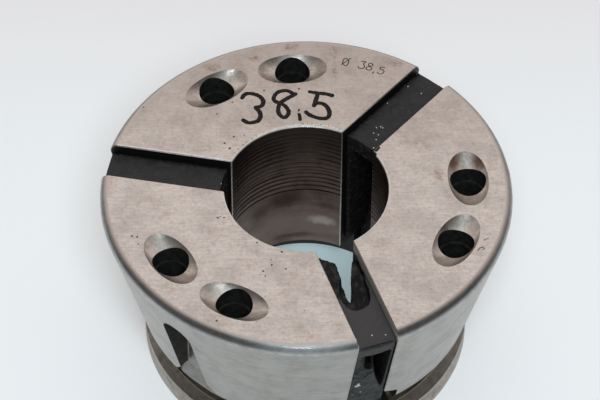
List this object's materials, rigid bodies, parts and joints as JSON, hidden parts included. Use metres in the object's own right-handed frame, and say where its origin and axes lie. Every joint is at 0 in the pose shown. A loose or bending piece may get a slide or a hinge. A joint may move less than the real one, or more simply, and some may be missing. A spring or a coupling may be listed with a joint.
{
  "type": "clamping head",
  "caption": "Tapered round workholding head: steel segments around a plain bore, joined by rubber webs, with a rear coupling flange and dished fixture holes in its front face.",
  "frame": {"origin": "on the head's axis, in the plane of the rear face", "axes": "+Z along the axis towards the front face; the slots lie at 50, 170 and 290 degrees anticlockwise from +X"},
  "size_m": [0.0964, 0.0964, 0.0503],
  "materials": {
    "ground_steel": "hardened and ground, lightly stained and scratched",
    "black_rubber": "vulcanised, oily, torn in one slot"
  },
  "bodies": {
    "rubber_webs": {"rear_web": "black_rubber", "left_web": "black_rubber", "front_web": "black_rubber"},
    "upper_jaw": {"upper_segment": "ground_steel"},
    "left_jaw": {"left_segment": "ground_steel"},
    "right_jaw": {"right_segment": "ground_steel"}
  },
  "joints": [
    {"name": "upper_close", "type": "slide", "parent": "rubber_webs", "child": "upper_jaw", "axis": [0.342, -0.9397, 0], "range_m": [0, 0.001], "stiffness_N_per_m": 50000, "deforming": ["rear_web", "left_web"]},
    {"name": "left_close", "type": "slide", "parent": "rubber_webs", "child": "left_jaw", "axis": [0.6428, 0.766, 0], "range_m": [0, 0.001], "stiffness_N_per_m": 50000, "deforming": ["left_web", "front_web"]},
    {"name": "right_close", "type": "slide", "parent": "rubber_webs", "child": "right_jaw", "axis": [-0.9848, 0.1736, 0], "range_m": [0, 0.001], "stiffness_N_per_m": 50000, "deforming": ["rear_web", "front_web"]}
  ],
  "couplings": [
    {"joint": "left_close", "follows": "upper_close", "ratio": 1},
    {"joint": "right_close", "follows": "upper_close", "ratio": 1}
  ]
}
